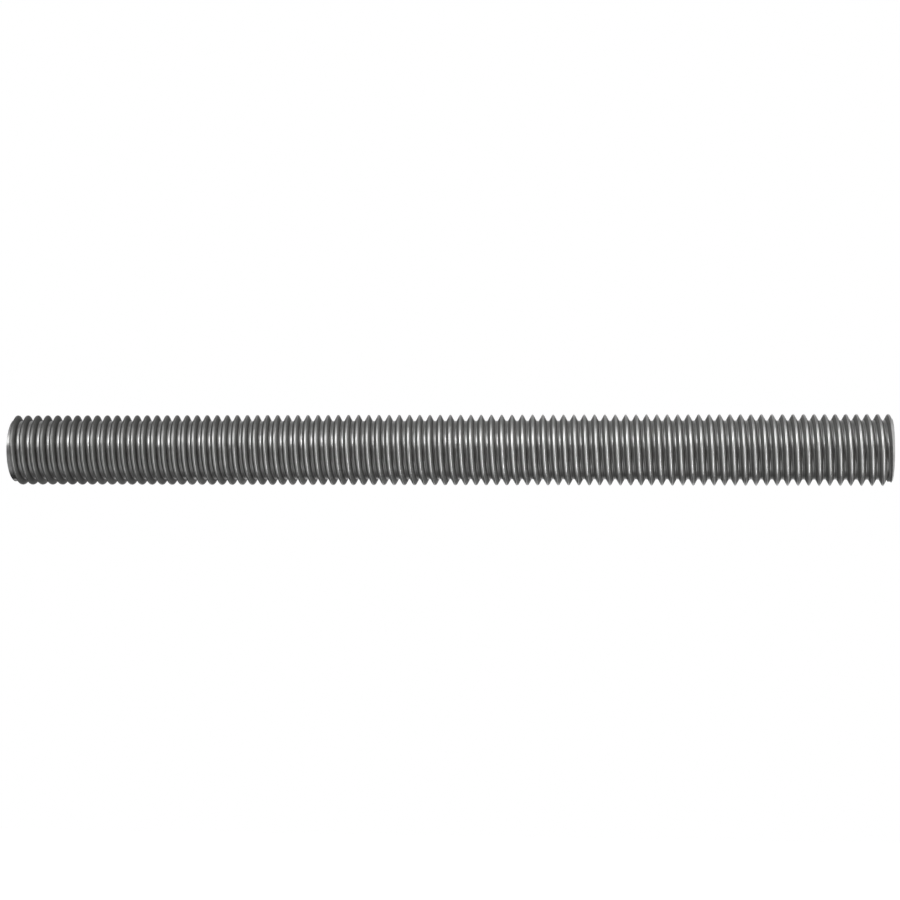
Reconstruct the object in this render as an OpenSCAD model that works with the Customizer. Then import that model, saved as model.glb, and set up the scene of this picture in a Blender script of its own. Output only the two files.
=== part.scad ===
// Fully threaded rod: one piece of steel bar with a metric thread from end to end.
//
// The rod lies along X, with its left end at -X and its middle at the origin. The solid is a
// chamfered bar cut by the form of the thread: the bar leaves the narrow land on every crest,
// the two conical chamfers and the two flat ends, and the form leaves the flanks and the root
// of one groove that winds round the rod. The groove runs out into a narrow plain rim at each
// end, where the bar keeps the diameter that it had before the thread was rolled on it.

/* [Rod] */
// Length of the rod over its two end faces
rod_length = 150; // [20:1:180]
// Nominal diameter, across the crests of the thread
thread_d = 12; // [10:0.5:20]

/* [Thread] */
// Pitch: the distance along the rod from one crest to the next
pitch = 1.75; // [1.5:0.25:2.5]
// Angle between the two flanks of the groove
flank_angle = 60; // [55:1:60]
// Width of the land on each crest
crest_land = 0.22; // [0.05:0.01:0.25]
// Distance from the left end to the first crest, on the rod's upper side
first_crest = 0.6; // [0.1:0.05:1.5]
// Left-hand thread, as on one end of a turnbuckle
left_hand = false; // [false, true]
// Straight steps that each turn of the groove is made of
steps_per_turn = 18; // [14:2:20]

/* [Ends] */
// How much narrower the flat face at each end is than the thread
end_face_step = 1.6; // [0:0.1:4]
// Length of the chamfer round each end face, along the rod
end_chamfer = 0.5; // [0.1:0.05:1.5]
// How much wider the plain rim at each end is than the root of the thread
rim_step = 0.7; // [0.3:0.05:1]
// Length of the plain rim, from the end face
rim_length = 0.7; // [0.2:0.05:1.5]

/* [Hidden] */

steel = "#8c8d8c";
bar_facets = 72;

bar_r = thread_d / 2;
end_face_r = bar_r - end_face_step / 2;
// height of the triangle that the flanks would make if they ran on to sharp edges
sharp_height = pitch / 2 / tan(flank_angle / 2);
// a metric external thread is cut to 17/24 of that height
root_r = bar_r - sharp_height * 17 / 24;
// the flanks meet above the land, where the bar trims them
apex_r = bar_r + crest_land / 2 / tan(flank_angle / 2);
// half the width of the ridge where it stands on the root
ridge_half = (apex_r - root_r) * tan(flank_angle / 2);

// the steps are chords, so their corners stand out by as much as their middles fall short
chord_gain = 2 / (1 + cos(180 / steps_per_turn));

// the form runs past both ends of the bar, so that only the groove cuts the bar
clear_of_end = 0.05;
overrun = pitch - ridge_half + clear_of_end;
lead_in_steps = ceil(steps_per_turn * (first_crest + overrun) / pitch);
lead_out_steps = ceil(steps_per_turn * (rod_length - first_crest + overrun) / pitch);
last_step = lead_in_steps + lead_out_steps;

// section of the ridge, as [distance along the rod, radius]: left foot, apex, right foot
RIDGE = [[-ridge_half, root_r], [0, apex_r], [ridge_half, root_r]];
CORNERS = len(RIDGE);
LEFT_FOOT = 0;
APEX = 1;
RIGHT_FOOT = 2;

// number of the point at one corner of the ridge's section, at one step of the helix
function at(step, corner) = CORNERS * step + corner;

// place of that point: the crest is on the rod's upper side where the step is lead_in_steps,
// and it goes down the front of the rod as it goes right
function on_helix(step, corner) =
    let (turn = (step - lead_in_steps) / steps_per_turn,
         x = -rod_length / 2 + first_crest + pitch * turn + RIDGE[corner].x,
         r = RIDGE[corner].y * chord_gain)
    [x, -r * sin(360 * turn), r * cos(360 * turn)];

// two triangles that close the gap between an edge a-b and the next edge c-d
function strip(a, b, c, d) = [[a, b, d], [a, d, c]];

// Solid of unlimited bar with the groove in it: a ridge carried round the helix, and the root
// strip that joins each turn of the ridge to the next. A fan of faces about a point on the
// axis closes each end.
module thread_form() {
    turn = steps_per_turn;
    left_tip = CORNERS * (last_step + 1);
    right_tip = left_tip + 1;
    tip_x = rod_length / 2 + overrun + pitch;

    points = [
        for (step = [0 : last_step], corner = [LEFT_FOOT : RIGHT_FOOT]) on_helix(step, corner),
        [-tip_x, 0, 0],
        [tip_x, 0, 0]
    ];

    flanks = [
        for (step = [0 : last_step - 1], corner = [LEFT_FOOT, APEX])
            each strip(at(step, corner), at(step, corner + 1),
                       at(step + 1, corner), at(step + 1, corner + 1))
    ];
    root = [
        for (step = [0 : last_step - turn - 1])
            each strip(at(step, RIGHT_FOOT), at(step + turn, LEFT_FOOT),
                       at(step + 1, RIGHT_FOOT), at(step + 1 + turn, LEFT_FOOT))
    ];

    left_rim = [
        for (step = [0 : turn]) at(step, LEFT_FOOT),
        at(0, RIGHT_FOOT),
        at(0, APEX)
    ];
    right_rim = [
        for (step = [last_step : -1 : last_step - turn]) at(step, RIGHT_FOOT),
        at(last_step, LEFT_FOOT),
        at(last_step, APEX)
    ];

    polyhedron(points, concat(flanks, root, fan(left_tip, left_rim), fan(right_tip, right_rim)),
               convexity = 10);
}

// triangles from a tip to each side of a closed rim
function fan(tip, rim) =
    [for (i = [0 : len(rim) - 1]) [tip, rim[i], rim[(i + 1) % len(rim)]]];

// Bar of the thread's full diameter, chamfered down to a flat face at each end
module chamfered_bar() {
    half = rod_length / 2;
    shoulder = half - end_chamfer;
    rotate([0, 90, 0])
        rotate_extrude($fn = bar_facets)
            polygon([
                [0, -half],
                [end_face_r, -half],
                [bar_r, -shoulder],
                [bar_r, shoulder],
                [end_face_r, half],
                [0, half]
            ]);
}

// The two plain rims, which fill the groove where it runs out and stand past the end faces
module rims() {
    for (side = [-1, 1])
        translate([side * (rod_length / 2 - rim_length / 2 + clear_of_end), 0, 0])
            rotate([0, 90, 0])
                cylinder(d = 2 * root_r + rim_step, h = rim_length + 2 * clear_of_end,
                         center = true, $fn = bar_facets);
}

module threaded_rod() {
    color(steel)
        mirror([0, left_hand ? 1 : 0, 0])
            intersection() {
                chamfered_bar();
                union() {
                    thread_form();
                    rims();
                }
            }
}

threaded_rod();
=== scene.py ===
"""Threaded rod: a short length of steel bar with a metric thread rolled on it from end to end.

Every size is in metres. The rod lies along X with its middle at the origin.
"""

from math import asin, atan, cos, pi, radians, sin, tan

import bmesh
import bpy
import numpy as np
from bpy.props import (
    FloatProperty,
    FloatVectorProperty,
    IntProperty,
    PointerProperty,
)
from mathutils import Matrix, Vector


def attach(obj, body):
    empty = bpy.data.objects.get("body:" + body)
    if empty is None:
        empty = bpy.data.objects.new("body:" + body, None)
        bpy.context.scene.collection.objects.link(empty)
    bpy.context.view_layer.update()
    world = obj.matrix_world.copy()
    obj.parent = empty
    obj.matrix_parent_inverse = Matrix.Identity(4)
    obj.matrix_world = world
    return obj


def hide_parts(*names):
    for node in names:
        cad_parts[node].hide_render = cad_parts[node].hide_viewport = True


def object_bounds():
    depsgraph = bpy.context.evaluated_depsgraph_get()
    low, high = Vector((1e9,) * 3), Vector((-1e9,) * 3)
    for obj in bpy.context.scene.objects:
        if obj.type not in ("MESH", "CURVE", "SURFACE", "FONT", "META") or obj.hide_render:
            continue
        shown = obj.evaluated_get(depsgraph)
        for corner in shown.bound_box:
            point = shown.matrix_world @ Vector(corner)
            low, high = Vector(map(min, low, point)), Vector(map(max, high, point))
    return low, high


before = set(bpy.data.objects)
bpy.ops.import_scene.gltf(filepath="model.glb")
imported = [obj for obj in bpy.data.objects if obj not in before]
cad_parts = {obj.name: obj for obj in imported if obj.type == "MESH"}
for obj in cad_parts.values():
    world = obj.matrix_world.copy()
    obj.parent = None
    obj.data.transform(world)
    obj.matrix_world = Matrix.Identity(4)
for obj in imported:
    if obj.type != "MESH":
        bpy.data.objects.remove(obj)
CAD_LOW, CAD_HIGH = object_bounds()

bl_info = {
    "name": "Threaded Rod",
    "version": (1, 0, 0),
    "blender": (4, 5, 0),
    "location": "3D View > Sidebar > Threaded Rod",
    "description": "Makes a steel rod with a rolled metric thread and a studio to show it in",
    "category": "Add Mesh",
}

NODE = "threaded_rod"
BODY = "root"
THREAD_MAP = "along_thread"

ROD_LENGTH = CAD_HIGH.x - CAD_LOW.x
THREAD_DIAMETER = CAD_HIGH.z - CAD_LOW.z


# ---------------------------------------------------------------------------------------------
# Values that a user would change
# ---------------------------------------------------------------------------------------------


class ThreadSizes(bpy.types.PropertyGroup):
    """Sizes of the rod and of its thread."""

    length: FloatProperty(
        name="Length",
        description="Length of the rod over its two end faces",
        default=ROD_LENGTH,
        unit="LENGTH",
        precision=4,
    )
    diameter: FloatProperty(
        name="Diameter",
        description="Diameter of the rod across the crests of the thread",
        default=THREAD_DIAMETER,
        unit="LENGTH",
        precision=4,
    )
    pitch: FloatProperty(
        name="Pitch",
        description="Distance along the rod from one crest to the next",
        default=0.00175,
        unit="LENGTH",
        precision=5,
    )
    flank_angle: FloatProperty(
        name="Flank angle",
        description="Angle between the two flanks of the groove",
        default=radians(56),
        subtype="ANGLE",
    )
    depth: FloatProperty(
        name="Depth",
        description="Height of the crest above the bottom of the groove",
        default=0.00105,
        unit="LENGTH",
        precision=5,
    )
    crest_land: FloatProperty(
        name="Crest land",
        description="Width of the land on the crest, before its corners are rounded",
        default=0.00022,
        unit="LENGTH",
        precision=5,
    )
    crest_round: FloatProperty(
        name="Crest rounding",
        description="Radius of the two corners of the crest",
        default=0.00014,
        unit="LENGTH",
        precision=5,
    )
    root_round: FloatProperty(
        name="Root rounding",
        description="Radius of the two corners at the bottom of the groove",
        default=0.0002,
        unit="LENGTH",
        precision=5,
    )
    first_crest: FloatProperty(
        name="First crest",
        description="Distance from the left end to the first crest, on the upper side",
        default=0.0006,
        unit="LENGTH",
        precision=5,
    )
    end_face: FloatProperty(
        name="End face",
        description="Diameter of the flat face at each end",
        default=0.0104,
        unit="LENGTH",
        precision=5,
    )
    end_chamfer: FloatProperty(
        name="End chamfer",
        description="Length along the rod of the chamfer round each end face",
        default=0.0005,
        unit="LENGTH",
        precision=5,
    )
    rim: FloatProperty(
        name="Rim",
        description="Diameter of the plain rim that each end keeps",
        default=0.0106,
        unit="LENGTH",
        precision=5,
    )
    rim_length: FloatProperty(
        name="Rim length",
        description="Length of each plain rim, from the end face",
        default=0.0007,
        unit="LENGTH",
        precision=5,
    )
    columns: IntProperty(
        name="Columns",
        description="Sections that each turn of the thread is made of",
        default=56,
        min=24,
        max=64,
    )


class SteelFinish(bpy.types.PropertyGroup):
    """Colours and polish of the steel."""

    crest_colour: FloatVectorProperty(
        name="Crest",
        description="Colour of the burnished crests towards the right end",
        default=(0.94, 0.94, 0.935),
        subtype="COLOR",
    )
    # painted shade: the crests' colour at the left end, painted darker where their highlight is
    # weaker
    left_shaded_crest_colour: FloatVectorProperty(
        name="Oily crest",
        description="Colour of the crests at the left end, under a film of oil",
        default=(0.33, 0.33, 0.325),
        subtype="COLOR",
    )
    flank_colour: FloatVectorProperty(
        name="Flank",
        description="Colour of the flanks of the groove towards the right end",
        default=(0.3, 0.3, 0.295),
        subtype="COLOR",
    )
    # painted shade: the flanks' colour at the left end, painted darker like the crests'
    left_shaded_flank_colour: FloatVectorProperty(
        name="Oily flank",
        description="Colour of the flanks at the left end, under a film of oil",
        default=(0.19, 0.19, 0.185),
        subtype="COLOR",
    )
    root_colour: FloatVectorProperty(
        name="Root",
        description="Colour of the steel at the bottom of the groove",
        default=(0.8, 0.8, 0.795),
        subtype="COLOR",
    )
    left_cut_colour: FloatVectorProperty(
        name="Left cut end",
        description="Colour of the bare steel on the sawn and chamfered left end",
        default=(0.58, 0.58, 0.575),
        subtype="COLOR",
    )
    # painted light: the right end's colour is a little lighter than the left end's
    right_cut_colour: FloatVectorProperty(
        name="Right cut end",
        description="Colour of the bare steel on the sawn and chamfered right end",
        default=(0.62, 0.62, 0.615),
        subtype="COLOR",
    )
    crest_roughness: FloatProperty(
        name="Crest roughness",
        description="Roughness of the burnished crests",
        default=0.32,
        min=0.0,
        max=1.0,
    )
    flank_roughness: FloatProperty(
        name="Flank roughness",
        description="Roughness of the flanks",
        default=0.55,
        min=0.0,
        max=1.0,
    )
    root_roughness: FloatProperty(
        name="Root roughness",
        description="Roughness of the bottom of the groove",
        default=0.34,
        min=0.0,
        max=1.0,
    )
    left_cut_roughness: FloatProperty(
        name="Left cut roughness",
        description="Roughness of the sawn left end",
        default=0.3,
        min=0.0,
        max=1.0,
    )
    right_cut_roughness: FloatProperty(
        name="Right cut roughness",
        description="Roughness of the sawn right end",
        default=0.6,
        min=0.0,
        max=1.0,
    )


class StudioSettings(bpy.types.PropertyGroup):
    """Camera, lamps and floor."""

    camera_foot: FloatProperty(
        name="Camera foot",
        description="How far right of the rod's middle the camera stands",
        default=0.0365,
        unit="LENGTH",
    )
    camera_distance: FloatProperty(
        name="Camera distance",
        description="Distance from the rod's axis to the camera",
        default=0.382,
        unit="LENGTH",
    )
    left_margin: FloatProperty(
        name="Left margin",
        description="Share of the picture's width left of the rod's left end",
        default=0.0167,
        subtype="FACTOR",
    )
    right_margin: FloatProperty(
        name="Right margin",
        description="Share of the picture's width right of the rod's right end",
        default=0.009,
        subtype="FACTOR",
    )
    floor_drop: FloatProperty(
        name="Floor drop",
        description="Height of the rod's axis above the floor",
        default=1.1,
        unit="LENGTH",
    )
    key: FloatProperty(
        name="Key",
        description="Brightness of the strip lamps in front of the rod and above it",
        default=5.0,
    )
    left_box: FloatProperty(
        name="Left box",
        description="Brightness of the soft boxes left of the rod's middle, below and above it",
        default=0.3,
    )
    right_box: FloatProperty(
        name="Right box",
        description="Brightness of the soft boxes right of the rod, below and above it",
        default=2.0,
    )
    walls: FloatProperty(
        name="Walls",
        description="Brightness of the white walls far beyond the two ends of the rod",
        default=0.7,
    )
    back: FloatProperty(
        name="Back",
        description="Brightness of the soft lamps behind the rod",
        default=0.15,
    )
    ambient: FloatProperty(
        name="Ambient",
        description="Brightness of the light that comes from all round",
        default=0.3,
    )
    flag_level: FloatProperty(
        name="Flags",
        description="Brightness of the dark flags that the steel mirrors between the lamps",
        default=0.03,
    )


# ---------------------------------------------------------------------------------------------
# Shape
# ---------------------------------------------------------------------------------------------

# points on the arc of each rounded corner of the section
CORNER_POINTS = 4
# turns by which the thread form runs past each end of the rod
SPARE_TURNS = 3
# how far the chamfered bar's cones run on past the crests, as a share of the rod's radius
CONE_RUN_ON = 1.1
# order of a triangle's corners that makes it face the other way
OTHER_WAY = [0, 2, 1]


def thread_section(sizes):
    """One pitch of the thread, from the middle of one root to the middle of the next.

    Gives two arrays, the distance along the rod from the crest and the radius. A flank is a
    straight line that leans from the radius by half the flank angle. Each corner is an arc
    tangent to its two neighbours, so its centre stands one radius below the crest's land or
    above the root, and it starts short of the sharp corner by the radius times the tangent of
    half the angle that the arc sweeps.
    """
    lean = sizes.flank_angle / 2
    sweep = pi / 2 - lean
    crest_r = sizes.diameter / 2
    root_r = crest_r - sizes.depth
    tilt = np.linspace(0, sweep, CORNER_POINTS)

    corner = sizes.crest_land / 2
    centre = corner - sizes.crest_round * tan(sweep / 2)
    crest_x = centre + sizes.crest_round * np.sin(tilt)
    crest_y = crest_r - sizes.crest_round * (1 - np.cos(tilt))

    corner = sizes.crest_land / 2 + sizes.depth * tan(lean)
    centre = corner + sizes.root_round * tan(sweep / 2)
    root_x = (centre - sizes.root_round * np.sin(tilt))[::-1]
    root_y = (root_r + sizes.root_round * (1 - np.cos(tilt)))[::-1]

    x = np.concatenate([crest_x, root_x])
    r = np.concatenate([crest_y, root_y])
    return np.concatenate([-x[::-1], x]), np.concatenate([r[::-1], r])


def fan(tip, ring):
    """Triangles from a tip to each side of a closed ring of points."""
    return np.stack([np.full(len(ring), tip), ring, np.roll(ring, -1)], axis=1)


def thread_form(sizes):
    """Endless bar with the groove in it, running past both ends of the rod.

    The section is carried round the helix: at an angle of a turns from the top of the rod, a
    point of the section stands at first crest + pitch * a + its own distance along the rod, on
    the upper side at whole turns and on the front at a quarter. Rows follow the section and
    columns the angle, and the column after the last one is the first column one turn on. A fan
    about a point of the axis closes each end.
    """
    along, radius = thread_section(sizes)
    samples, columns = len(along), sizes.columns
    turns = int(sizes.length / sizes.pitch) + 2 * SPARE_TURNS
    rows = turns * samples

    turn = np.repeat(np.arange(turns), samples)[:, None]
    angle = np.arange(columns)[None, :] / columns
    x = (
        -sizes.length / 2
        + sizes.first_crest
        + sizes.pitch * (turn - SPARE_TURNS + angle)
        + np.tile(along, turns)[:, None]
    )
    r = np.tile(radius, turns)[:, None] * np.ones((1, columns))
    points = np.stack([x, -r * np.sin(2 * pi * angle), r * np.cos(2 * pi * angle)], axis=2)
    points = np.concatenate([points.reshape(-1, 3), [[x.min(), 0, 0], [x.max(), 0, 0]]])

    number = np.arange(rows * columns).reshape(rows, columns)
    wrapped = np.concatenate([number[:-samples], number[samples:, :1]], axis=1)
    a, b = wrapped[:-1, :-1], wrapped[:-1, 1:]
    c, d = wrapped[1:, 1:], wrapped[1:, :-1]
    quads = np.stack([a, d, c, b], axis=2).reshape(-1, 4)

    last = len(wrapped) - 1
    left = np.concatenate([wrapped[0], number[1:samples, 0][::-1]])
    right = np.concatenate([wrapped[last], number[last + 1 : last + samples, 0][::-1]])
    left_tip, right_tip = rows * columns, rows * columns + 1
    fans = np.concatenate([fan(left_tip, left), fan(right_tip, right)[:, OTHER_WAY]])
    uv = np.concatenate([thread_map(sizes, along, radius, turns), np.zeros((3 * len(fans), 2))])
    return points, quads, fans, uv


def thread_map(sizes, along, radius, turns):
    """Flat map of the thread form's quads, in metres along the helix and across it.

    A point's place along the helix is its number of turns times the rod's circumference. Its
    place across is the length of the section's outline from the root up to the point.
    """
    samples, columns = len(along), sizes.columns
    across = np.concatenate([[0], np.cumsum(np.hypot(np.diff(along), np.diff(radius)))])
    root_gap = sizes.pitch - (along[-1] - along[0])
    across = np.append(across, across[-1] + root_gap)

    row = np.arange((turns - 1) * samples - 1)
    start = ((row // samples)[:, None] + np.arange(columns) / columns) * pi * sizes.diameter
    end = start + pi * sizes.diameter / columns
    low = across[row % samples][:, None] + 0 * start
    high = across[row % samples + 1][:, None] + 0 * start
    corners = [(start, low), (start, high), (end, high), (end, low)]
    return np.stack([np.stack(corner, axis=2) for corner in corners], axis=2).reshape(-1, 2)


def lathe(x, r, facets):
    """Profile turned about the rod's axis and closed by a fan at both ends.

    The profile's points stand at x along the rod and r from its axis. At an angle of a from the
    top of the rod they are carried to -r sin a towards the back and r cos a upwards.
    """
    x, r = np.asarray(x, float), np.asarray(r, float)
    angle = 2 * pi * np.arange(facets)[None, :] / facets
    points = np.stack(
        [x[:, None] + 0 * angle, -r[:, None] * np.sin(angle), r[:, None] * np.cos(angle)], axis=2
    )
    points = np.concatenate([points.reshape(-1, 3), [[x[0], 0, 0], [x[-1], 0, 0]]])
    number = np.arange(len(x) * facets).reshape(len(x), facets)
    ring = np.concatenate([number, number[:, :1]], axis=1)
    quads = np.stack([ring[:-1, :-1], ring[1:, :-1], ring[1:, 1:], ring[:-1, 1:]], axis=2)
    tip = len(x) * facets
    fans = np.concatenate([fan(tip, number[0]), fan(tip + 1, number[-1])[:, OTHER_WAY]])
    return points, quads.reshape(-1, 4), fans


def chamfered_bar(sizes, facets):
    """Bar that the thread form is cut to: flat end faces and a cone round each of them.

    The cones run on past the thread's crests, so the bar trims nothing between them.
    """
    half = sizes.length / 2
    face_r = sizes.end_face / 2
    outer_r = sizes.diameter / 2 * CONE_RUN_ON
    run = sizes.end_chamfer * (outer_r - face_r) / (sizes.diameter / 2 - face_r)
    return lathe([-half, -half + run, half - run, half], [face_r, outer_r, outer_r, face_r], facets)


def rim(sizes, side, facets):
    """Plain disc at one end, which fills the groove where it runs out and stands past the end."""
    inner = side * (sizes.length / 2 - sizes.rim_length)
    outer = side * (sizes.length / 2 + sizes.pitch / 4)
    return lathe(sorted([inner, outer]), [sizes.rim / 2, sizes.rim / 2], facets)


def volume(points, quads, triangles):
    """Volume of a closed mesh: a sixth of the sum of its triangles' triple products."""
    corners = np.concatenate([triangles, quads[:, [0, 1, 2]], quads[:, [0, 2, 3]]])
    p = points[corners]
    return np.einsum("ij,ij->i", p[:, 0], np.cross(p[:, 1], p[:, 2])).sum() / 6


def outward(points, quads, triangles, uv=None):
    """The same faces, all turned round where the mesh is inside out."""
    if volume(points, quads, triangles) > 0:
        return points, quads, triangles, uv
    if uv is not None:
        split = 4 * len(quads)
        uv = np.concatenate(
            [
                uv[:split].reshape(-1, 4, 2)[:, ::-1].reshape(-1, 2),
                uv[split:].reshape(-1, 3, 2)[:, ::-1].reshape(-1, 2),
            ]
        )
    return points, quads[:, ::-1], triangles[:, ::-1], uv


def mesh_from(name, points, quads, triangles, uv=None):
    """Mesh of numpy points, quads and triangles, and the map of their corners if it has one."""
    mesh = bpy.data.meshes.new(name)
    corners = np.concatenate([quads.ravel(), triangles.ravel()]).astype(np.int32)
    counts = np.concatenate([np.full(len(quads), 4), np.full(len(triangles), 3)])
    starts = np.concatenate([[0], np.cumsum(counts)[:-1]]).astype(np.int32)
    mesh.vertices.add(len(points))
    mesh.vertices.foreach_set("co", points.astype(np.float32).ravel())
    mesh.loops.add(len(corners))
    mesh.loops.foreach_set("vertex_index", corners)
    mesh.polygons.add(len(counts))
    mesh.polygons.foreach_set("loop_start", starts)
    if uv is not None:
        layer = mesh.uv_layers.new(name=THREAD_MAP)
        layer.uv.foreach_set("vector", uv.astype(np.float32).ravel())
    mesh.update(calc_edges=True)
    mesh.validate()
    return mesh


# ---------------------------------------------------------------------------------------------
# Finish
# ---------------------------------------------------------------------------------------------

# share of the thread's depth, from a crest's top or a root's bottom, at which the finish of the
# crest or the root begins, and at which it is full
FINISH_BEGINS, FINISH_FULL = 0.16, 0.03
# places along the rod, as shares of its length from its middle, between which the crests and
# the flanks go from their darker left-end colours, which are painted shade, to their full ones
SHADE_FULL_TO, SHADE_GONE_FROM = -0.45, 0.12
# the same for the change from the left cut end's finish to the right one's: the right end's colour
# is a little lighter, as painted light, and its polish is rougher
LEFT_CUT_TO, RIGHT_CUT_FROM = -0.1, 0.1
# number of coarse tool marks for each fine one
COARSE_MARKS = 0.22


def feed(tree, socket, value):
    """Joins another node's socket to a socket, or sets the socket to a value or a colour."""
    if isinstance(value, bpy.types.NodeSocket):
        tree.links.new(value, socket)
    elif socket.type == "RGBA":
        socket.default_value = (*value, 1.0)
    else:
        socket.default_value = value


def add_node(tree, kind, inputs=None, **settings):
    """New node with its settings, and its inputs set to values or joined to other sockets."""
    node = tree.nodes.new(kind)
    for name, value in settings.items():
        setattr(node, name, value)
    for key, value in (inputs or {}).items():
        feed(tree, node.inputs[key], value)
    return node


def calculate(tree, operation, a, b):
    """Result of a Math node on two numbers."""
    return add_node(tree, "ShaderNodeMath", {0: a, 1: b}, operation=operation).outputs[0]


def mix_colour(tree, factor, a, b, blend="MIX"):
    """Mix of two colours, a where the factor is 0 and b where it is 1."""
    return add_node(
        tree, "ShaderNodeMix", {0: factor, 6: a, 7: b}, data_type="RGBA", blend_type=blend
    ).outputs[2]


def mix_value(tree, factor, a, b):
    """Mix of two numbers, a where the factor is 0 and b where it is 1."""
    return add_node(tree, "ShaderNodeMix", {0: factor, 2: a, 3: b}).outputs[0]


def ramp(tree, value, low, high, smooth=True):
    """0 where the value is at low or beyond it, and 1 where it is at high or beyond it."""
    return add_node(
        tree,
        "ShaderNodeMapRange",
        {"Value": value, "From Min": low, "From Max": high},
        interpolation_type="SMOOTHSTEP" if smooth else "LINEAR",
    ).outputs[0]


def grey(value):
    """Neutral colour of one brightness."""
    return (value, value, value)


def group_tree(name, inputs, outputs):
    """Empty node group with named inputs and outputs, and its two end nodes."""
    tree = bpy.data.node_groups.new(name, "ShaderNodeTree")
    for label, kind, value in inputs:
        socket = tree.interface.new_socket(label, in_out="INPUT", socket_type=kind)
        if value is not None:
            socket.default_value = value
    for label, kind in outputs:
        tree.interface.new_socket(label, in_out="OUTPUT", socket_type=kind)
    return tree, tree.nodes.new("NodeGroupInput"), tree.nodes.new("NodeGroupOutput")


def tool_marks_group():
    """Fine parallel lines of uneven depth, as a tool or a die leaves them.

    The lines follow the vector's X, and are uneven noise that is drawn out along it. Height
    feeds a bump and Marks varies the colour and the roughness.
    """
    tree, given, out = group_tree(
        "tool_marks",
        [
            ("Vector", "NodeSocketVector", None),
            ("Lines", "NodeSocketFloat", 9000.0),
            ("Stretch", "NodeSocketFloat", 0.04),
        ],
        [("Marks", "NodeSocketFloat"), ("Height", "NodeSocketFloat")],
    )
    lines = given.outputs["Lines"]
    drawn = add_node(tree, "ShaderNodeCombineXYZ", {0: given.outputs["Stretch"], 1: 1.0, 2: 1.0})
    placed = add_node(
        tree,
        "ShaderNodeVectorMath",
        {0: given.outputs["Vector"], 1: drawn.outputs[0]},
        operation="MULTIPLY",
    ).outputs[0]
    fine = add_node(
        tree,
        "ShaderNodeTexNoise",
        {"Vector": placed, "Scale": lines, "Detail": 3.0, "Roughness": 0.6},
    )
    coarse_lines = calculate(tree, "MULTIPLY", lines, COARSE_MARKS)
    coarse = add_node(
        tree, "ShaderNodeTexNoise", {"Vector": placed, "Scale": coarse_lines, "Detail": 2.0}
    )
    height = calculate(tree, "ADD", fine.outputs[0], coarse.outputs[0])
    feed(tree, out.inputs["Marks"], ramp(tree, height, low=0.7, high=1.3, smooth=False))
    feed(tree, out.inputs["Height"], height)
    return tree


def oil_film_group():
    """Uneven film of oil and handling on bare steel: soft patches and small grains."""
    tree, given, out = group_tree(
        "oil_film",
        [
            ("Vector", "NodeSocketVector", None),
            ("Patches", "NodeSocketFloat", 260.0),
            ("Grains", "NodeSocketFloat", 3200.0),
        ],
        [("Film", "NodeSocketFloat"), ("Grain", "NodeSocketFloat")],
    )
    vector = given.outputs["Vector"]
    patches = add_node(
        tree,
        "ShaderNodeTexNoise",
        {"Vector": vector, "Scale": given.outputs["Patches"], "Detail": 4.0, "Distortion": 0.4},
    )
    grains = add_node(
        tree,
        "ShaderNodeTexNoise",
        {"Vector": vector, "Scale": given.outputs["Grains"], "Detail": 2.0, "Roughness": 0.7},
    )
    feed(tree, out.inputs["Film"], ramp(tree, patches.outputs[0], low=0.32, high=0.68))
    feed(tree, out.inputs["Grain"], grains.outputs[0])
    return tree


def new_material(name):
    """Material with an empty tree but for its Principled BSDF and output."""
    material = bpy.data.materials.new(name)
    material.use_nodes = True
    tree = material.node_tree
    return material, tree, tree.nodes["Principled BSDF"]


def shaded(tree, colour, film, marks, thin, low, high):
    """Colour times two shades, from thin to 1 with the film and from low to high with the marks."""
    shade = calculate(
        tree, "MULTIPLY", mix_value(tree, film, thin, 1.0), mix_value(tree, marks, low, high)
    )
    tint = add_node(tree, "ShaderNodeCombineColor", {0: shade, 1: shade, 2: shade}).outputs[0]
    return mix_colour(tree, 1.0, colour, tint, "MULTIPLY")


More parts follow.
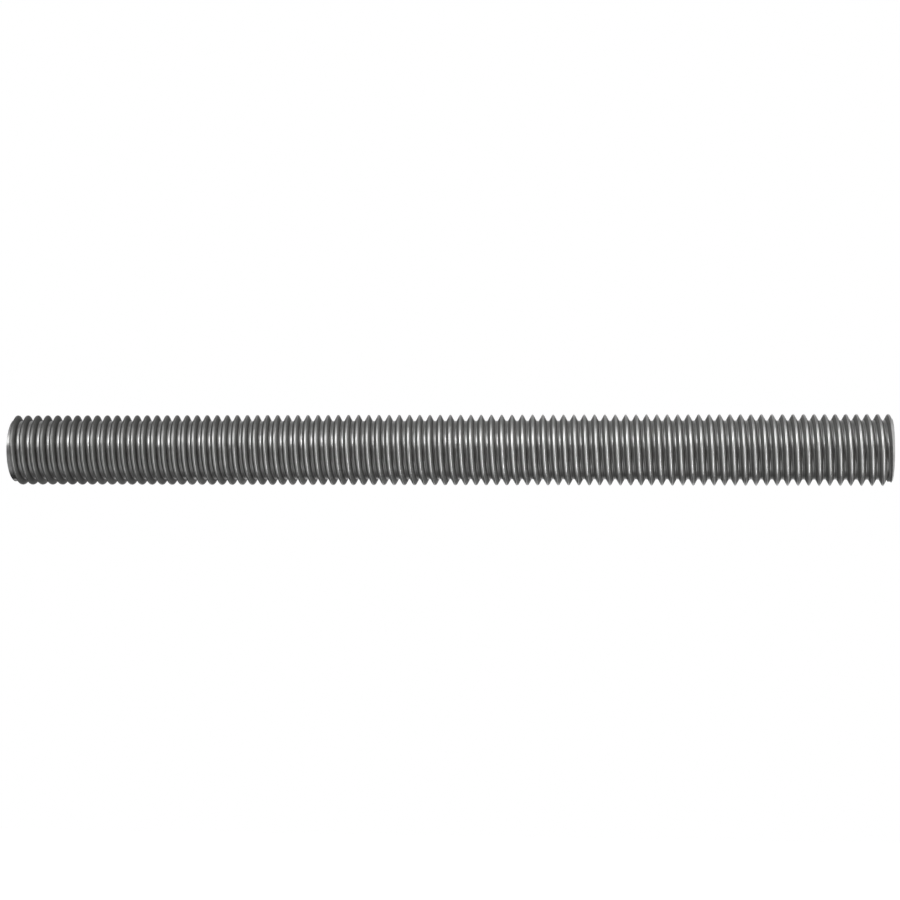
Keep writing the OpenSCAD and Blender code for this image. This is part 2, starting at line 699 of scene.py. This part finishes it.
def rolled_steel(sizes, finish, marks_group, film_group):
    """Steel that the dies have pressed: burnished crests, duller flanks and root.

    The distance from the rod's axis tells crest, flank and root apart. Fine marks follow the
    helix on the piece's own map. The crests and the flanks are painted darker towards the left
    end, as painted shade.
    """
    material, tree, steel = new_material("rolled_steel")
    place = add_node(tree, "ShaderNodeTexCoord").outputs["Object"]
    x, y, z = add_node(tree, "ShaderNodeSeparateXYZ", {0: place}).outputs
    radial = add_node(tree, "ShaderNodeCombineXYZ", {1: y, 2: z}).outputs[0]
    radius = add_node(
        tree, "ShaderNodeVectorMath", {0: radial}, operation="LENGTH"
    ).outputs["Value"]
    begins, full = FINISH_BEGINS * sizes.depth, FINISH_FULL * sizes.depth
    crest_r = sizes.diameter / 2
    root_r = crest_r - sizes.depth
    crest = ramp(tree, radius, crest_r - begins, crest_r - full)
    root = ramp(tree, radius, root_r + begins, root_r + full)

    along = add_node(tree, "ShaderNodeUVMap", uv_map=THREAD_MAP).outputs[0]
    marks = add_node(
        tree,
        "ShaderNodeGroup",
        {"Vector": along, "Lines": 14000.0, "Stretch": 0.05},
        node_tree=marks_group,
    ).outputs
    film = add_node(
        tree,
        "ShaderNodeGroup",
        {"Vector": place, "Patches": 220.0, "Grains": 4200.0},
        node_tree=film_group,
    ).outputs

    # painted shade: 0 near the left end, where the crests and flanks take their darker painted
    # colours, and 1 right of the middle
    unshaded = ramp(tree, x, SHADE_FULL_TO * sizes.length, SHADE_GONE_FROM * sizes.length, smooth=False)
    bright = mix_colour(tree, unshaded, finish.left_shaded_crest_colour, finish.crest_colour)
    side = mix_colour(tree, unshaded, finish.left_shaded_flank_colour, finish.flank_colour)
    body = mix_colour(tree, root, side, finish.root_colour)
    body = mix_colour(tree, crest, body, bright)
    colour = shaded(tree, body, film["Film"], marks["Marks"], thin=0.86, low=0.9, high=1.06)
    feed(tree, steel.inputs["Base Color"], colour)

    rough = mix_value(tree, root, finish.flank_roughness, finish.root_roughness)
    rough = mix_value(tree, crest, rough, finish.crest_roughness)
    uneven = calculate(
        tree,
        "MULTIPLY",
        mix_value(tree, film["Film"], 1.2, 0.95),
        mix_value(tree, marks["Marks"], 0.9, 1.15),
    )
    feed(tree, steel.inputs["Roughness"], calculate(tree, "MULTIPLY", rough, uneven))

    relief = calculate(tree, "ADD", marks["Height"], film["Grain"])
    bump = add_node(
        tree, "ShaderNodeBump", {"Strength": 0.15, "Distance": 6e-6, "Height": relief}
    )
    feed(tree, steel.inputs["Normal"], bump.outputs[0])
    feed(tree, steel.inputs["Metallic"], 1.0)
    return material


def cut_steel(sizes, finish, marks_group, film_group):
    """Bare steel of the sawn end faces and their turned chamfers, with straight saw marks."""
    material, tree, steel = new_material("cut_steel")
    place = add_node(tree, "ShaderNodeTexCoord").outputs["Object"]
    across_ends = add_node(
        tree, "ShaderNodeMapping", {"Vector": place, "Rotation": (0.0, radians(90), 0.0)}
    ).outputs[0]
    marks = add_node(
        tree,
        "ShaderNodeGroup",
        {"Vector": across_ends, "Lines": 5200.0, "Stretch": 0.03},
        node_tree=marks_group,
    ).outputs
    film = add_node(
        tree,
        "ShaderNodeGroup",
        {"Vector": place, "Patches": 420.0, "Grains": 5200.0},
        node_tree=film_group,
    ).outputs

    x = add_node(tree, "ShaderNodeSeparateXYZ", {0: place}).outputs[0]
    right = ramp(tree, x, LEFT_CUT_TO * sizes.length, RIGHT_CUT_FROM * sizes.length)
    # painted light: the right end's bare steel is a little lighter than the left end's
    bare = mix_colour(tree, right, finish.left_cut_colour, finish.right_cut_colour)
    colour = shaded(tree, bare, film["Film"], marks["Marks"], thin=0.82, low=0.8, high=1.1)
    feed(tree, steel.inputs["Base Color"], colour)

    polish = mix_value(tree, right, finish.left_cut_roughness, finish.right_cut_roughness)
    uneven = mix_value(tree, marks["Marks"], 1.2, 0.8)
    feed(tree, steel.inputs["Roughness"], calculate(tree, "MULTIPLY", polish, uneven))

    bump = add_node(
        tree, "ShaderNodeBump", {"Strength": 0.5, "Distance": 1e-5, "Height": marks["Height"]}
    )
    feed(tree, steel.inputs["Normal"], bump.outputs[0])
    feed(tree, steel.inputs["Metallic"], 1.0)
    return material


# ---------------------------------------------------------------------------------------------
# Operators
# ---------------------------------------------------------------------------------------------


class ROD_OT_thread(bpy.types.Operator):
    """Make the rod: the rolled thread, cut to length and chamfered at both ends"""

    bl_idname = "rod.thread"
    bl_label = "Rolled thread"

    # points nearer to each other than this are merged after the cuts, in metres
    MERGE_DISTANCE = 1e-7
    # fewer faces than this mean that a cut has failed
    FEWEST_FACES = 1000
    # edges between faces that differ by more than this stay sharp
    SHARP_ANGLE = radians(30)
    # how near the middle of a cut face is to its plane, and to its cone or cylinder, in metres
    NEAR_PLANE, NEAR_CURVE = 1e-6, 1.2e-5
    # share of a normal that lies along the rod: more on an end face, and less on a rim
    ON_END, ON_RIM = 0.99, 0.05

    def execute(self, context):
        scene = context.scene
        sizes, finish = scene.rod_sizes, scene.rod_finish
        rod = self.solid("rolled_thread", *thread_form(sizes))
        facets = 2 * sizes.columns
        tools = [
            (self.solid("left_rim", *rim(sizes, -1, facets)), "UNION"),
            (self.solid("right_rim", *rim(sizes, 1, facets)), "UNION"),
            (self.solid("chamfered_bar", *chamfered_bar(sizes, facets)), "INTERSECT"),
        ]
        self.cut(context, rod, tools)

        mesh = rod.data
        marks_group, film_group = tool_marks_group(), oil_film_group()
        mesh.materials.clear()
        mesh.materials.append(rolled_steel(sizes, finish, marks_group, film_group))
        mesh.materials.append(cut_steel(sizes, finish, marks_group, film_group))
        mesh.polygons.foreach_set("material_index", self.cut_faces(mesh, sizes))
        mesh.shade_smooth()
        mesh.set_sharp_from_angle(angle=self.SHARP_ANGLE)
        mesh.update()

        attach(rod, BODY)
        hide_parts(NODE)
        return {"FINISHED"}

    @staticmethod
    def solid(name, points, quads, triangles, uv=None):
        """Object with a closed mesh that faces outwards."""
        made = bpy.data.objects.new(name, mesh_from(name, *outward(points, quads, triangles, uv)))
        bpy.context.scene.collection.objects.link(made)
        return made

    def cut(self, context, rod, tools):
        """Joins or cuts the rod with each tool in turn, and takes the tools away."""
        for tool, operation in tools:
            step = rod.modifiers.new(tool.name, "BOOLEAN")
            step.operation = operation
            step.solver = "MANIFOLD"
            step.object = tool
        ready = rod.evaluated_get(context.evaluated_depsgraph_get())
        mesh = bpy.data.meshes.new_from_object(ready)
        rod.modifiers.clear()
        form, rod.data = rod.data, mesh
        for spare in [form] + [tool.data for tool, _ in tools]:
            bpy.data.meshes.remove(spare)
        mesh.name = rod.name
        if len(mesh.polygons) < self.FEWEST_FACES:
            raise RuntimeError("the thread was not cut to length")

        work = bmesh.new()
        work.from_mesh(mesh)
        bmesh.ops.remove_doubles(work, verts=work.verts, dist=self.MERGE_DISTANCE)
        work.to_mesh(mesh)
        work.free()
        mesh.validate()

    @classmethod
    def cut_faces(cls, mesh, sizes):
        """1 for each face on an end plane, a chamfer's cone or a rim, and 0 elsewhere.

        A cone's radius is the end face's at the end and the thread's at the chamfer's other
        edge. A face is off its cone by the difference in radius times the cosine of its slope.
        """
        count = len(mesh.polygons)
        centre = np.empty(3 * count, np.float32)
        mesh.polygons.foreach_get("center", centre)
        normal = np.empty(3 * count, np.float32)
        mesh.polygons.foreach_get("normal", normal)
        centre, normal = centre.reshape(-1, 3), normal.reshape(-1, 3)
        from_end = sizes.length / 2 - np.abs(centre[:, 0])
        radius = np.hypot(centre[:, 1], centre[:, 2])
        endwise = np.abs(normal[:, 0])
        rise = sizes.diameter / 2 - sizes.end_face / 2
        cone_r = sizes.end_face / 2 + rise * from_end / sizes.end_chamfer
        off_cone = np.abs(radius - cone_r) * sizes.end_chamfer / np.hypot(rise, sizes.end_chamfer)
        off_rim = np.abs(radius - sizes.rim / 2)
        on_plane = (from_end < cls.NEAR_PLANE) & (endwise > cls.ON_END)
        on_cone = (from_end < sizes.end_chamfer) & (off_cone < cls.NEAR_CURVE)
        on_rim = (from_end < sizes.rim_length) & (off_rim < cls.NEAR_CURVE) & (endwise < cls.ON_RIM)
        return (on_plane | on_cone | on_rim).astype(np.int32)


class ROD_OT_studio(bpy.types.Operator):
    """Set up the camera, the floor, the flags and the lamps"""

    bl_idname = "rod.studio"
    bl_label = "Studio"

    SENSOR_WIDTH = 36
    CLIP_START, CLIP_END = 0.01, 50
    FLOOR_REACH = 6.0
    FLOOR_BRIGHTNESS = 0.85
    # the flags' arch, its ends and its flat bottom, whose drop is a share of the floor's
    FLAG_RADIUS, FLAG_REACH, FLAG_STEPS, FLAG_DROP = 1.4, 2.6, 25, 0.95
    # distance from the rod's axis to every lamp
    LAMP_DISTANCE = 0.8
    # name, angles round the rod in degrees, places along it in metres, setting and share of it;
    # 0 degrees is level in front of the rod, and no two lamps overlap
    LAMPS = (
        ("key", (24, 54), (-1.2, -0.45), "key", 1.25),
        ("key_far", (24, 54), (-2.4, -1.2), "key", 0.16),
        ("key_near", (24, 54), (-0.45, -0.15), "key", 0.3),
        ("key_middle", (24, 54), (-0.15, 0.15), "key", 0.1),
        ("left_box_low", (-95, -16), (-0.45, -0.15), "left_box", 1.0),
        ("left_box_top", (54, 100), (-0.45, -0.15), "left_box", 1.5),
        ("right_box_low", (-95, -52), (0.45, 1.2), "right_box", 1.1),
        ("right_box_top", (54, 100), (0.45, 1.2), "right_box", 1.0),
        ("left_wall_low", (-95, -16), (-2.4, -0.45), "walls", 1.0),
        ("left_wall_middle", (-16, 24), (-2.4, -0.45), "walls", 1.0),
        ("left_wall_top", (54, 100), (-2.4, -0.45), "walls", 1.2),
        ("right_wall_low", (-95, -16), (1.2, 2.4), "walls", 7.0),
        ("right_wall_middle", (-16, 24), (1.2, 2.4), "walls", 9.5),
        ("right_wall_high", (24, 54), (1.2, 2.4), "walls", 6.5),
        ("right_wall_top", (54, 100), (1.2, 2.4), "walls", 7.4),
        ("back_top", (100, 124), (-2.4, 2.4), "back", 1.0),
        ("back_high", (134, 178), (-2.4, 2.4), "back", 2.4),
        ("back_low", (-178, -142), (-2.4, 2.4), "back", 3.6),
    )

    def execute(self, context):
        scene = context.scene
        scene.view_settings.view_transform = "Standard"
        studio, sizes = scene.rod_studio, scene.rod_sizes
        self.camera(scene, studio, sizes)
        self.floor(scene, studio)
        self.flags(scene, studio)
        self.world(scene, studio)
        for name, angles, places, setting, share in self.LAMPS:
            self.lamp(scene, name, angles, places, share * getattr(studio, setting))
        return {"FINISHED"}

    def camera(self, scene, studio, sizes):
        """Level camera, turned and zoomed so that the rod's two ends have their margins.

        With the two ends at angles A and B from straight ahead and a turn T, they stand in the
        picture at tan(A - T) and tan(B - T), whose ratio is the ratio of their places. That
        gives sin(A + B - 2T) = -sin(A - B) * (1 + ratio) / (1 - ratio).
        """
        data = bpy.data.cameras.new("camera")
        data.sensor_fit = "HORIZONTAL"
        data.sensor_width = self.SENSOR_WIDTH
        foot, distance, half = studio.camera_foot, studio.camera_distance, sizes.length / 2
        left_angle = atan((-half - foot) / distance)
        right_angle = atan((half - foot) / distance)
        left_place = studio.left_margin - 0.5
        right_place = 0.5 - studio.right_margin
        ratio = left_place / right_place
        twice_off = asin(-sin(left_angle - right_angle) * (1 + ratio) / (1 - ratio))
        turn = (left_angle + right_angle - twice_off) / 2
        data.lens = data.sensor_width * right_place / tan(right_angle - turn)
        data.clip_start, data.clip_end = self.CLIP_START, self.CLIP_END
        camera = bpy.data.objects.new("camera", data)
        camera.location = (foot, -distance, 0)
        camera.rotation_euler = (pi / 2, 0, -turn)
        scene.collection.objects.link(camera)
        scene.camera = camera

    @staticmethod
    def seen_directly(tree):
        """1 for camera, glossy and transmission rays, and 0 for the rays that carry light."""
        path = add_node(tree, "ShaderNodeLightPath").outputs
        first = calculate(tree, "MAXIMUM", path["Is Camera Ray"], path["Is Glossy Ray"])
        return calculate(tree, "MAXIMUM", first, path["Is Transmission Ray"])

    def world(self, scene, studio):
        """White where it is seen, and a soft grey light from all round."""
        world = bpy.data.worlds.new("white_room")
        scene.world = world
        world.use_nodes = True
        tree = world.node_tree
        tree.nodes.clear()
        light = add_node(
            tree, "ShaderNodeBackground", {"Color": grey(1.0), "Strength": studio.ambient}
        )
        seen = add_node(tree, "ShaderNodeBackground", {"Color": grey(1.0), "Strength": 1.0})
        mixed = add_node(
            tree,
            "ShaderNodeMixShader",
            {0: self.seen_directly(tree), 1: light.outputs[0], 2: seen.outputs[0]},
        )
        add_node(tree, "ShaderNodeOutputWorld", {"Surface": mixed.outputs[0]})

    @staticmethod
    def stage_tree(name):
        """Material with an empty tree."""
        material = bpy.data.materials.new(name)
        material.use_nodes = True
        material.node_tree.nodes.clear()
        return material, material.node_tree

    @staticmethod
    def stage_object(scene, name, material, points, quads, triangles):
        """Object that isn't part of the rod."""
        mesh = mesh_from(name, points, quads, triangles)
        mesh.materials.append(material)
        made = bpy.data.objects.new(name, mesh)
        scene.collection.objects.link(made)
        return made

    def floor(self, scene, studio):
        """Pale floor that keeps the rod's soft shadow and is white elsewhere."""
        material, tree = self.stage_tree("pale_floor")
        matt = add_node(tree, "ShaderNodeBsdfDiffuse", {"Color": grey(self.FLOOR_BRIGHTNESS)})
        glow = add_node(
            tree, "ShaderNodeEmission", {"Color": grey(1.0), "Strength": self.seen_directly(tree)}
        )
        both = add_node(tree, "ShaderNodeAddShader", {0: matt.outputs[0], 1: glow.outputs[0]})
        add_node(tree, "ShaderNodeOutputMaterial", {"Surface": both.outputs[0]})
        corners = np.array([[-1, -1], [1, -1], [1, 1], [-1, 1]]) * self.FLOOR_REACH
        points = np.column_stack([corners, np.full(4, -studio.floor_drop)])
        quads, no_triangles = np.array([[0, 1, 2, 3]]), np.empty((0, 3), int)
        self.stage_object(scene, "floor", material, points, quads, no_triangles)

    def flags(self, scene, studio):
        """Dark flags all round the rod, which only the steel sees.

        The section is an arch with a flat bottom just over the floor, drawn out along the rod
        and closed by a fan at both ends.
        """
        material, tree = self.stage_tree("dark_flag")
        glow = add_node(
            tree, "ShaderNodeEmission", {"Color": grey(studio.flag_level), "Strength": 1.0}
        )
        add_node(tree, "ShaderNodeOutputMaterial", {"Surface": glow.outputs[0]})
        radius, reach = self.FLAG_RADIUS, self.FLAG_REACH
        level = -self.FLAG_DROP * studio.floor_drop
        angle = np.linspace(0, pi, self.FLAG_STEPS)
        section = np.stack([-radius * np.cos(angle), radius * np.sin(angle)], axis=1)
        section = np.concatenate([[[-radius, level]], section, [[radius, level]]])
        count = len(section)
        points = np.concatenate(
            [
                np.column_stack([np.full(count, -reach), section]),
                np.column_stack([np.full(count, reach), section]),
                [[-reach, 0, level], [reach, 0, level]],
            ]
        )
        here = np.arange(count)
        after = np.roll(here, -1)
        quads = np.stack([here, after, after + count, here + count], axis=1)
        right_fan = fan(2 * count + 1, here + count)[:, OTHER_WAY]
        fans = np.concatenate([fan(2 * count, here), right_fan])
        made = self.stage_object(scene, "flags", material, points, quads, fans)
        made.visible_camera = False
        made.visible_diffuse = False
        made.visible_shadow = False

    def lamp(self, scene, name, angles, places, strength):
        """Rectangular lamp that faces the rod, between two angles round it and two places.

        It is as wide as the places are apart, and as high as twice its distance times the
        tangent of half the angle between its edges. Its power is its brightness times its area
        times pi.
        """
        low, high = angles
        left, right = places
        middle, spread = radians((low + high) / 2), radians(high - low)
        data = bpy.data.lights.new(name, "AREA")
        data.shape = "RECTANGLE"
        data.size = right - left
        data.size_y = 2 * self.LAMP_DISTANCE * tan(spread / 2)
        data.energy = strength * data.size * data.size_y * pi
        made = bpy.data.objects.new(name, data)
        toward = Vector((0, -cos(middle), sin(middle)))
        made.location = Vector(((left + right) / 2, 0, 0)) + toward * self.LAMP_DISTANCE
        made.rotation_mode = "QUATERNION"
        made.rotation_quaternion = toward.to_track_quat("Z", "Y")
        made.visible_camera = False
        scene.collection.objects.link(made)


class ROD_PT_panel(bpy.types.Panel):
    """Lists the operators and their values"""

    bl_idname = "ROD_PT_panel"
    bl_label = "Threaded rod"
    bl_space_type = "VIEW_3D"
    bl_region_type = "UI"
    bl_category = "Threaded Rod"

    def draw(self, context):
        scene = context.scene
        for operator, groups in (
            (ROD_OT_thread, (scene.rod_sizes, scene.rod_finish)),
            (ROD_OT_studio, (scene.rod_studio,)),
        ):
            box = self.layout.box()
            for group in groups:
                for name in group.__annotations__:
                    box.prop(group, name)
            box.operator(operator.bl_idname)


CLASSES = (ThreadSizes, SteelFinish, StudioSettings, ROD_OT_thread, ROD_OT_studio, ROD_PT_panel)


def register():
    for made in CLASSES:
        bpy.utils.register_class(made)
    bpy.types.Scene.rod_sizes = PointerProperty(type=ThreadSizes)
    bpy.types.Scene.rod_finish = PointerProperty(type=SteelFinish)
    bpy.types.Scene.rod_studio = PointerProperty(type=StudioSettings)


def unregister():
    del bpy.types.Scene.rod_studio
    del bpy.types.Scene.rod_finish
    del bpy.types.Scene.rod_sizes
    for made in reversed(CLASSES):
        bpy.utils.unregister_class(made)


def main():
    register()
    bpy.ops.rod.thread()
    bpy.ops.rod.studio()


if __name__ == "__main__":
    main()
